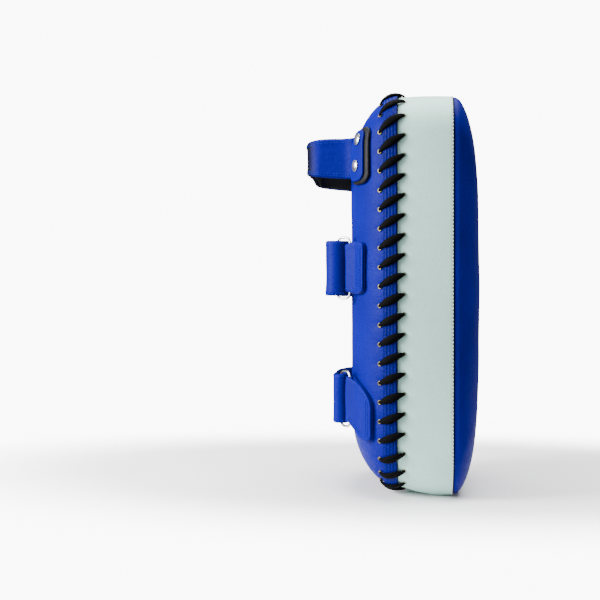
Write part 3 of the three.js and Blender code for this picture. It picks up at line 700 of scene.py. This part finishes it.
def eyelets(distances, depth, radius, tube):
    """Small rolled rings set into the leather round the lace holes."""
    around, sides = 16, 8
    parts = []
    for distance in distances:
        place = place_at(distance)
        foot = laced_surface(place, depth, 0.35)
        outward = laced_surface(place, depth, 5.35) - foot
        outward = unit(outward)
        side = laced_surface(place_at(distance + 1), depth, 0) - laced_surface(
            place_at(distance - 1), depth, 0)
        side -= outward * np.dot(side, outward)
        side = unit(side)
        other = np.cross(outward, side)
        rings = []
        for k in range(around):
            turn = 2 * pi * k / around
            spoke = cos(turn) * side + sin(turn) * other
            rings.append([foot + spoke * (radius + tube * cos(a)) + outward * tube * 0.8 * sin(a)
                          for a in np.arange(sides) * 2 * pi / sides])
        parts.append(loft(np.array(rings), closed=True))
    return merged(parts)


# ------------------------------------------------------------------ straps

def left_normals(line):
    along = np.gradient(line, axis=0)
    along = unit(along)
    return np.stack([-along[:, 1], along[:, 0]], axis=1)


def smooth_line(points, steps):
    """A smooth line in X and Y through points, evenly spaced."""
    points = np.asarray(points, float)
    tangents = np.gradient(points, axis=0)
    fine = []
    for i in range(len(points) - 1):
        t = np.linspace(0, 1, 24, endpoint=False)[:, None]
        p0, p1, m0, m1 = points[i], points[i + 1], tangents[i], tangents[i + 1]
        fine.append((2 * t ** 3 - 3 * t ** 2 + 1) * p0 + (t ** 3 - 2 * t ** 2 + t) * m0
                    + (3 * t ** 2 - 2 * t ** 3) * p1 + (t ** 3 - t ** 2) * m1)
    fine = np.concatenate(fine + [points[-1:]])
    return resample(fine, steps)


def resample(line, steps):
    lengths = distances_along(line)
    at = np.linspace(0, lengths[-1], steps + 1)
    return np.stack([np.interp(at, lengths, line[:, k]) for k in range(line.shape[1])], axis=1)


def arc_line(x, y, radius, start, end, steps):
    angle = np.radians(np.linspace(start, end, steps + 1))
    return np.stack([x + radius * np.cos(angle), y + radius * np.sin(angle)], axis=1)


def rounded_rectangle(half_u, half_v, corner, steps):
    """A closed line round a rectangle about the origin; its last point repeats its first."""
    u, v = half_u - corner, half_v - corner
    line = np.concatenate([
        arc_line(u, v, corner, 0, 90, steps), arc_line(-u, v, corner, 90, 180, steps),
        arc_line(-u, -v, corner, 180, 270, steps), arc_line(u, -v, corner, 270, 360, steps)])
    return np.concatenate([line, line[:1]])


def along_back(start_x, end_x, z, offset, steps):
    x = np.linspace(start_x, end_x, steps + 1)
    return on_back(x, np.full_like(x, z), np.full_like(x, offset))[:, :2]


def strap_mesh(line, thickness, middle, half, hem=0.0, hem_width=5.0):
    """A strap along a line in X and Y, across Z. middle and half are arrays along it; its edges
    are rounded and can carry a raised hem."""
    normals = left_normals(line)
    count = 15
    across = np.sin(np.linspace(-pi / 2, pi / 2, count))
    total = len(line)
    rings = []
    for i in range(total):
        end = min(i, total - 1 - i)
        close = [0.55, 0.85, 1.0][min(end, 2)]
        z = middle[i] + across * half[i]
        inward = half[i] - np.abs(across) * half[i]
        edge = np.sqrt(np.clip(1 - (1 - np.clip(inward / (0.9 * thickness), 0, 1)) ** 2, 0.02, 1))
        raised = hem * np.clip((hem_width - inward) / 1.2, 0, 1)
        thick = (thickness / 2 + raised) * edge * close
        top = [(line[i, 0] + normals[i, 0] * t, line[i, 1] + normals[i, 1] * t, zz)
               for t, zz in zip(thick, z)]
        low = [(line[i, 0] - normals[i, 0] * t, line[i, 1] - normals[i, 1] * t, zz)
               for t, zz in zip(thick[::-1], z[::-1])]
        rings.append(top + low)
    return softened(loft(np.array(rings)))


def line_threads(line, middle, lift, start, end):
    """Stitches along a strap, lift mm out of its middle surface, at heights middle, one per
    point."""
    lengths = distances_along(line)
    normals = left_normals(line)
    at = np.arange(start * lengths[-1], end * lengths[-1] - THREAD_LENGTH, THREAD_STEP)

    def spot(distance, out):
        x, y, nx, ny, z = (np.interp(distance, lengths, column) for column in
                           (line[:, 0], line[:, 1], normals[:, 0], normals[:, 1], middle))
        return np.stack([x + nx * out, y + ny * out, z], axis=1)

    starts, ends = spot(at, lift), spot(at + THREAD_LENGTH, lift)
    outward = spot(at + THREAD_LENGTH / 2, lift + np.sign(lift) * 5) - (starts + ends) / 2
    outward = unit(outward)
    return softened(stitches(starts, ends, outward, THREAD_RADIUS, THREAD_RISE))


def cross_threads(point, normal, low, high, lift):
    """A row of stitches straight across a strap, at one point of its line."""
    at = np.arange(low, high - THREAD_LENGTH, THREAD_STEP)
    base = np.array([point[0] + normal[0] * lift, point[1] + normal[1] * lift, 0])
    starts = base + np.stack([0 * at, 0 * at, at], axis=1)
    ends = starts + [0, 0, THREAD_LENGTH]
    outward = np.tile([normal[0] * np.sign(lift), normal[1] * np.sign(lift), 0], (len(at), 1))
    return softened(stitches(starts, ends, outward, THREAD_RADIUS, THREAD_RISE))


def wire_ring(name, node, eye, bar, z, half_height, wire, corner):
    """A rectangular ring of round wire, standing across from the eye to the bar."""
    width = np.linalg.norm(bar - eye)
    across = (bar - eye) / width
    inner = half_height - wire
    path = rounded_rectangle(width / 2, inner, corner, 8) + [width / 2, 0]
    path = resample(path, 120)[:-1]
    along = np.roll(path, -1, axis=0) - np.roll(path, 1, axis=0)
    along = unit(along)
    angles = np.arange(14) * 2 * pi / 14
    rings = []
    for point, direction in zip(path, along):
        outward = np.array([direction[1], -direction[0]])
        ring = []
        for angle in angles:
            u, v = point + outward * wire * cos(angle)
            lift = wire * sin(angle)
            ring.append((eye[0] + across[0] * u - across[1] * lift,
                         eye[1] + across[1] * u + across[0] * lift, z + v))
        rings.append(ring)
    points, faces = loft(np.array(rings), closed=True)
    piece = make_object(name, points, faces, STEEL, node, "steel")
    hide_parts(node)


FOLD_X = -46
RING_EYE = np.array([-60, 75.2])
WIRE = 1.6
STRAP_THICKNESS = 3.0
TAPE_THICKNESS = 1.2
TAB_THICKNESS = 2.2
GAP = 0.35
FLAP_OFFSET = STRAP_THICKNESS + 2 * TAPE_THICKNESS + 3 * GAP
SPAN_STEPS = 36                 # points over the arm
FLAP_CLEARS = 16                # points before the fold that the flap doesn't follow


def forearm_strap(side, arch, fold_radius, fold_y, slack, tab, square):
    low, high = node_box(f"{side}_strap")
    z = (low[2] + high[2]) / 2
    half_width = (high[2] - low[2]) / 2
    end_x = node_box(f"{side}_flap")[1][0] - 0.5
    half = STRAP_THICKNESS / 2

    sewn = along_back(80, 56, z, GAP + half, 10)
    over_arm = smooth_line([
        sewn[-1], [30, arch - 4], [6, arch], [-31, (arch + fold_y - fold_radius) / 2 - 0.8],
        [FOLD_X, fold_y - fold_radius]], SPAN_STEPS)
    fold = arc_line(FOLD_X, fold_y, fold_radius, 270, 92, 22)
    line = np.concatenate([sewn[:-1], over_arm, fold[1:]])
    level = np.full(len(line), z)
    piece = make_object(f"{side}_strap_leather", *strap_mesh(
        line, STRAP_THICKNESS, level, np.full(len(line), half_width), hem=0.25, hem_width=4.5),
        BLUE, "pad", "blue_leather")
    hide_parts(f"{side}_strap")
    for k, edge in enumerate((-1, 1)):
        make_object(f"{side}_strap_thread_{k + 1}", *line_threads(
            line, level + edge * (half_width - 2.6), half + 0.3, 0.1, 0.98),
            LIGHT_THREAD, "pad", "blue_leather")

    anchor = along_back(86, 64, z, 2 * GAP + STRAP_THICKNESS + TAB_THICKNESS / 2, 16)
    share = np.linspace(-1, 1, len(anchor))
    anchor_half = (half_width + 3) * (1 - 0.1 * np.abs(share) ** 6)
    piece = make_object(f"{side}_anchor_leather", *strap_mesh(
        anchor, TAB_THICKNESS, np.full(len(anchor), z), anchor_half), BLUE, "pad", "blue_leather")
    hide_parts(f"{side}_anchor_patch")
    rows = []
    for index in (2, 4, 12, 14):
        normal = left_normals(anchor)[index]
        rows.append(cross_threads(anchor[index], normal, z - half_width + 1, z + half_width - 1,
                                  TAB_THICKNESS / 2 + 0.1))
    make_object(f"{side}_anchor_thread", *merged(rows), WHITE_THREAD, "pad", "blue_leather")

    grip = over_arm[4:16]
    tape_half = np.full(len(grip), half_width - 3)
    tape_level = np.full(len(grip), z)
    loop_offset = -(half + GAP + TAPE_THICKNESS / 2)
    hook_offset = loop_offset - TAPE_THICKNESS - GAP
    normals = left_normals(grip)
    for kind, offset, body in (("loop", loop_offset, "pad"), ("hook", hook_offset, f"{side}_flap")):
        piece = make_object(f"{side}_{kind}_tape", *strap_mesh(
            grip + normals * offset, TAPE_THICKNESS, tape_level, tape_half),
            TAPE, body, f"{kind}_tape")
        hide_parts(f"{side}_{kind}_patch")

    flap(side, line, len(sewn) - 1 + SPAN_STEPS, fold_y + fold_radius, z, half_width, end_x, square)

    bar_x = FOLD_X - fold_radius + half + WIRE + slack
    wire_ring(f"{side}_ring_wire", f"{side}_ring", RING_EYE, np.array([bar_x, fold_y - 0.5]), z,
              half_width + 4.2, 0.8 * WIRE, 6)
    ring_tab(side, z, **tab)


def flap(side, line, span_count, top, z, half_width, end_x, square):
    """The returning layer of a strap, from the fold to its loose end."""
    half = STRAP_THICKNESS / 2
    over = line[:span_count - FLAP_CLEARS]
    over = (over + left_normals(over) * -FLAP_OFFSET)[::-1]
    out = over[-1] - over[-2]
    out = unit(out)
    reach = (end_x - over[-1, 0]) / out[0]
    tongue = over[-1] + out * np.linspace(0.06, 1, 18)[:, None] * reach
    start = np.array([[FOLD_X + 0.8, top], [FOLD_X + 8, top - 0.1], [FOLD_X + 14, top - 0.6]])
    route = resample(smooth_line(np.concatenate([start, over[2::5], tongue[4::4], tongue[-1:]]), 200), 74)
    share = np.linspace(0, 1, len(route))
    end = np.clip((share - 0.86) / 0.14, 0, 1)
    tip = 1 - 0.12 * end ** 6 if square else np.sqrt(1 - 0.86 * end ** 2.4)
    width = half_width * tip
    level = np.full(len(route), z)
    body = f"{side}_flap"
    piece = make_object(f"{side}_flap_leather", *strap_mesh(
        route, STRAP_THICKNESS, level, width, hem=0.25, hem_width=4.5), BLUE, body, "blue_leather")
    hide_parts(f"{side}_flap")
    for k, edge in enumerate((-1, 1)):
        make_object(f"{side}_flap_thread_{k + 1}", *line_threads(
            route, level + edge * (width - 2.6), half + 0.3, 0.02, 0.97),
            LIGHT_THREAD, body, "blue_leather")


def ring_tab(side, z, end_x, half, loop_half, tip, drop):
    """The doubled tab on the near shoulder that holds the ring."""
    steps = 24
    radius = WIRE + 0.9 + TAB_THICKNESS / 2
    low_offset = GAP + TAB_THICKNESS / 2
    high_offset = low_offset + TAB_THICKNESS + GAP
    low_leg = along_back(end_x, -66, z, low_offset, steps)
    high_leg = along_back(-67.5, end_x, z, high_offset, steps)
    loop = arc_line(RING_EYE[0], RING_EYE[1], radius, -62, 117, 16)
    line = np.concatenate([low_leg, loop, high_leg])
    line = resample(line, 90)
    share = np.linspace(0, 1, len(line))
    leg = np.minimum(1, np.minimum(share, 1 - share) / 0.41)
    opened = np.minimum(1, leg * 1.5)
    round_end = half * (tip + (1 - tip) * (1 - (1 - opened) ** 2.1) ** (1 / 2.1))
    width = round_end + (loop_half - round_end) * leg ** 3
    level = z - drop * (1 - leg) ** 0.8
    piece = make_object(f"{side}_ring_tab_leather", *strap_mesh(
        line, TAB_THICKNESS, level, width, hem=0.15, hem_width=4), BLUE, "pad", "blue_leather")
    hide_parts(f"{side}_ring_tab")
    first = 52                      # where the outer leg begins
    outer, level, width = line[first:], level[first:], width[first:]
    rows = []
    for inset in (3.0, 5.6):
        for edge in (-1, 1):
            rows.append(line_threads(
                outer, level + edge * (width - inset), -(TAB_THICKNESS / 2 + 0.2), 0.0, 0.93))
        index = len(outer) - 3 - int(inset / 1.1)
        reach = width[index] - inset
        rows.append(cross_threads(outer[index], left_normals(outer)[index], level[index] - reach,
                                  level[index] + reach, -(TAB_THICKNESS / 2 + 0.2)))
    make_object(f"{side}_ring_tab_thread", *merged(rows), LIGHT_THREAD, "pad", "blue_leather")


# ------------------------------------------------------------------ handle

HANDLE_Z = 340
HALF_SPAN = 57
REACH = node_box("handle_loop")[1][1]
LEG_HALF = 21
GRIP_HALF = 14
GRIP_CORNER = 16
TAB_X = 69


def handle_line(inset, start_y):
    x = HALF_SPAN - inset
    y = REACH - inset
    radius = GRIP_CORNER - inset
    cx, cy = x - radius, y - radius
    leg = np.linspace(start_y, cy, 22)
    left = np.stack([np.full_like(leg, -x), leg], axis=1)
    left[:, 0] -= 3.0 * np.clip((start_y + 12 - leg) / 12, 0, 1) ** 2
    line = np.concatenate([
        left, arc_line(-cx, cy, radius, 180, 90, 14)[1:], [[0, y]],
        arc_line(cx, cy, radius, 90, 0, 14), (left * [-1, 1])[::-1][1:]])
    line = resample(line, 110)
    share = np.linspace(0, 1, len(line))
    leg = np.clip(1 - np.minimum(share, 1 - share) / 0.34, 0, 1)
    sag = 1.7 * np.sin(pi * leg) ** 2 - 0.7 * np.sin(2 * pi * leg) * leg
    line[:, 0] -= np.sign(line[:, 0]) * sag
    return line


def handle_edges(share):
    """Upper and lower edges of the handle strap: it narrows late above and early below."""
    to_grip = np.minimum(1, np.minimum(share, 1 - share) / 0.36)
    narrowing = LEG_HALF - GRIP_HALF
    return (HANDLE_Z + LEG_HALF - narrowing * to_grip ** 3.5,
            HANDLE_Z - LEG_HALF + narrowing * to_grip ** 1.2)


def handle():
    line = handle_line(1.6, 71.5)
    share = np.linspace(0, 1, len(line))
    above, below = handle_edges(share)
    half = (above - below) / 2
    level = (above + below) / 2
    piece = make_object("handle_leather", *strap_mesh(line, 3.2, level, half, hem=0.35, hem_width=5.5),
                        GRIP_BLUE, None, "blue_leather")
    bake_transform(piece)
    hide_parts("handle_loop", "handle_core")
    inner = handle_line(5.6, 72.5)
    piece = make_object("handle_lining_leather", *strap_mesh(inner, 2.0, level, half - 0.6),
                        BLACK, None, "black_leather")
    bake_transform(piece)
    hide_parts("handle_lining")
    rows = [line_threads(line, level + edge * (half - inset), 1.6 + 0.3, 0.02, 0.98)
            for edge in (-1, 1) for inset in (2.4, 4.6)]
    piece = make_object("handle_thread", *merged(rows), LIGHT_THREAD, None, "blue_leather")
    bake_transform(piece)


def back_patch(x, z, half_x, half_z, corner, lift, thickness):
    """A leather patch bent over the dome, with rounded edges."""
    count = 96
    edge = resample(rounded_rectangle(half_x, half_z, corner, 10), count)[:-1]
    profile = [(0.05, 1.0), (0.3, 1.0), (0.55, 1.0), (0.75, 1.0), (0.88, 1.0), (0.95, 0.95),
               (0.985, 0.8), (1.0, 0.5), (0.985, 0.15), (0.95, 0.0), (0.6, 0.0), (0.05, 0.0)]
    rings = [on_back(x + edge[:, 0] * scale, z + edge[:, 1] * scale,
                     np.full(count, lift + thickness * up)) for scale, up in profile]
    return loft(np.array(rings))


def patch_threads(x, z, half_x, half_z, corner, lift, inset):
    corner = max(corner - inset, 2.0)
    line = rounded_rectangle(half_x - inset, half_z - inset, corner, 8)
    lengths = distances_along(line)
    at = np.arange(0, lengths[-1] - THREAD_LENGTH, THREAD_STEP)

    def spot(distance, out):
        px, pz = (np.interp(distance, lengths, line[:, k]) for k in (0, 1))
        return on_back(x + px, z + pz, np.full_like(px, out))

    starts, ends = spot(at, lift), spot(at + THREAD_LENGTH, lift)
    outward = spot(at + THREAD_LENGTH / 2, lift + 5) - (starts + ends) / 2
    outward = unit(outward)
    return stitches(starts, ends, outward, THREAD_RADIUS, THREAD_RISE)


def rivet(name, node, x, z):
    """A domed cap with a rolled rim."""
    foot = on_back(np.array([x]), np.array([z]), np.array([6.1]))[0]
    outward = on_back(np.array([x]), np.array([z]), np.array([11.1]))[0] - foot
    outward = unit(outward)
    side = np.cross(outward, [0, 0, 1.0])
    side = unit(side)
    other = np.cross(outward, side)
    profile = [(0.1, 2.0), (1.5, 1.95), (2.8, 1.75), (3.9, 1.4), (4.6, 1.0), (5.0, 0.72), (5.4, 0.85),
               (5.8, 0.75), (6.0, 0.4), (5.8, 0.0), (3.0, -0.3), (0.1, -0.3)]
    turns = np.arange(40) * 2 * pi / 40
    rings = [[foot + radius * (cos(t) * side + sin(t) * other) + outward * up for t in turns]
             for radius, up in profile]
    piece = make_object(name, *loft(np.array(rings)), STEEL, "pad", "steel")
    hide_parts(node)


def handle_foot(side, sign):
    lift = 1.0
    # Black underlay patch, a few mm larger than the blue tab above it: the black rim it shows round the
    # tab is painted shade for the tab's edge shadow.
    under = make_object(f"handle_underlay_leather_{side}", *back_patch(
        sign * TAB_X, HANDLE_Z, 14, 28, 9, 0.3, 2.9), BLACK, "pad", "black_leather")
    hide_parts(f"handle_underlay_{side}")
    tab_lift = lift + TAB_THICKNESS + GAP
    tab = make_object(f"handle_tab_leather_{side}", *back_patch(
        sign * (TAB_X - 1), HANDLE_Z, 11, 25, 8, tab_lift - 0.3, 2.5), BLUE, "pad", "blue_leather")
    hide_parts(f"handle_tab_{side}")
    make_object(f"handle_tab_thread_{side}", *patch_threads(
        sign * (TAB_X - 1), HANDLE_Z, 11, 25, 8, tab_lift + 2.15, 2.2),
        BLUE_THREAD, "pad", "blue_leather")
    for k, up in enumerate((-1, 1)):
        rivet(f"handle_rivet_cap_{side}_{k + 1}", f"handle_rivet_{side}_{k + 1}",
              sign * (TAB_X + 1 + up), HANDLE_Z + 3 + up * 12.5)


# ------------------------------------------------------------------ building

def build_body():
    cover = make_object("striking_cover_leather", *striking_cover(), BLUE, "pad", "blue_leather")
    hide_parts("striking_cover")
    band = make_object("gusset_leather", *gusset(), PALE, "pad", "pale_leather")
    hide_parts("gusset_band")
    back = make_object("back_cover_leather", *back_cover(), BACK_BLUE, "pad", "blue_leather")
    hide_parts("back_cover")
    hem = make_object("hem_leather", *hem_band(), HEM, "pad", "hem_leather")
    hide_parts("back_hem_band")
    make_object("hem_thread", *hem_threads(), BLUE_THREAD, "pad", "hem_leather")
    make_object("seam_shade_welt", *seam_shade_welt(), SEAM_SHADE, "pad", "blue_leather")
    make_object("seam_thread", *seam_threads(), WHITE_THREAD, "pad", "pale_leather")
    cord = make_object("lace_cord", *lace(), LACE, "pad", "lace_cord")
    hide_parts("lace")
    make_object("back_eyelets", *eyelets(BACK_DISTANCES, BACK_HOLE, 1.9, 0.5), BRASS, "pad", "steel")
    make_object("gusset_eyelets", *eyelets(GUSSET_DISTANCES, -GUSSET_HOLE, 1.8, 0.3), BRASS, "pad",
                "steel")


def finish_cad_nodes():
    looks = {
        "front_foam": FOAM, "core_foam": FOAM, "back_foam": FOAM, "stiffening_board": BOARD,
        "gusset_join_strip": PALE,
    }
    for node, material in looks.items():
        mesh = frame["nodes"][node].data
        mesh.materials.clear()
        mesh.materials.append(material)


def area_light(name, place, target, size, energy, colour):
    data = bpy.data.lights.new(name, "AREA")
    data.shape = "RECTANGLE"
    data.size, data.size_y = size
    data.energy = energy
    data.color = colour
    light = bpy.data.objects.new(name, data)
    light.location = place
    light.rotation_euler = (Vector(target) - Vector(place)).to_track_quat("-Z", "Y").to_euler()
    bpy.context.scene.collection.objects.link(light)


def stage():
    size, steps = 1.6, 40
    axis = np.linspace(-size, size, steps + 1) / MM
    points = [(x, y, -0.3) for y in axis for x in axis]
    faces = [[r * (steps + 1) + c, r * (steps + 1) + c + 1, (r + 1) * (steps + 1) + c + 1,
              (r + 1) * (steps + 1) + c] for r in range(steps) for c in range(steps)]
    material, shader, place = new_material("pale_floor")
    grain = placed(material, place, "ShaderNodeTexNoise", Scale=6.0, Detail=3.0)
    link(material, colour_ramp(material, grain.outputs["Fac"],
                               [(0.3, (0.86, 0.86, 0.87)), (0.7, (0.90, 0.90, 0.91))]),
         shader.inputs["Base Color"])
    shader.inputs["Roughness"].default_value = 0.6
    spread = placed(material, place, "ShaderNodeMapping", Location=(-0.075, 0, 0),
                    Scale=(1.0, 0.5, 1.0))
    distance = add_node(material, "ShaderNodeVectorMath", operation="LENGTH")
    link(material, spread.outputs["Vector"], distance.inputs[0])
    fade = add_node(material, "ShaderNodeMapRange", interpolation_type="SMOOTHSTEP",
                    **{"From Min": 0.17, "From Max": 0.36})
    link(material, distance.outputs["Value"], fade.inputs["Value"])
    clear = add_node(material, "ShaderNodeBsdfTransparent")
    mix = add_node(material, "ShaderNodeMixShader")
    link(material, fade.outputs["Result"], mix.inputs["Fac"])
    link(material, shader.outputs["BSDF"], mix.inputs[1])
    link(material, clear.outputs["BSDF"], mix.inputs[2])
    output = next(n for n in material.node_tree.nodes if n.type == "OUTPUT_MATERIAL")
    link(material, mix.outputs["Shader"], output.inputs["Surface"])
    mesh = bpy.data.meshes.new("floor")
    mesh.from_pydata([[c * MM for c in p] for p in points], [], faces)
    mesh.materials.append(material)
    floor = bpy.data.objects.new("floor", mesh)
    bpy.context.scene.collection.objects.link(floor)


def world():
    scene_world = bpy.data.worlds.new("studio")
    bpy.context.scene.world = scene_world
    scene_world.use_nodes = True
    scene_world.node_tree.nodes.clear()
    output = add_node(scene_world, "ShaderNodeOutputWorld")
    seen = add_node(scene_world, "ShaderNodeBackground", Color=(1, 1, 1, 1), Strength=10.0)
    lit = add_node(scene_world, "ShaderNodeBackground", Color=(0.95, 0.97, 1, 1), Strength=0.3)
    path = add_node(scene_world, "ShaderNodeLightPath")
    mix = add_node(scene_world, "ShaderNodeMixShader")
    link(scene_world, path.outputs["Is Camera Ray"], mix.inputs["Fac"])
    link(scene_world, lit.outputs["Background"], mix.inputs[1])
    link(scene_world, seen.outputs["Background"], mix.inputs[2])
    link(scene_world, mix.outputs["Shader"], output.inputs["Surface"])


def lights():
    middle = (0, 0.01, 0.2)
    area_light("key", (-0.58, 1.34, 0.62), middle, (0.6, 0.8), 96, (1, 0.99, 0.98))
    area_light("fill", (-1.5, 0.25, 0.6), middle, (1.2, 1.0), 8, (0.97, 0.99, 1))
    area_light("top", (0.0, -0.1, 1.7), middle, (1.5, 1.5), 85, (1, 1, 1))


def camera():
    data = bpy.data.cameras.new("camera")
    data.lens = 55.8                       # on the usual 36 mm sensor
    data.clip_start = 0.01
    view = bpy.data.objects.new("camera", data)
    view.location = (-1.0, 0.010, 0.1965)
    view.rotation_euler = (pi / 2, 0, -pi / 2 + radians(7.05))
    bpy.context.scene.collection.objects.link(view)
    bpy.context.scene.camera = view


camera()
stage()
world()
lights()
build_body()
handle()
handle_foot("left", -1)
handle_foot("right", 1)
forearm_strap("upper", 90, 10.6, 89.4, 2.2, dict(end_x=-78, half=27, loop_half=24, tip=0.75, drop=0),
              square=False)
forearm_strap("lower", 86, 6.4, 85.8, 1.5, dict(end_x=-86, half=27, loop_half=23, tip=0.5, drop=18),
              square=True)
finish_cad_nodes()
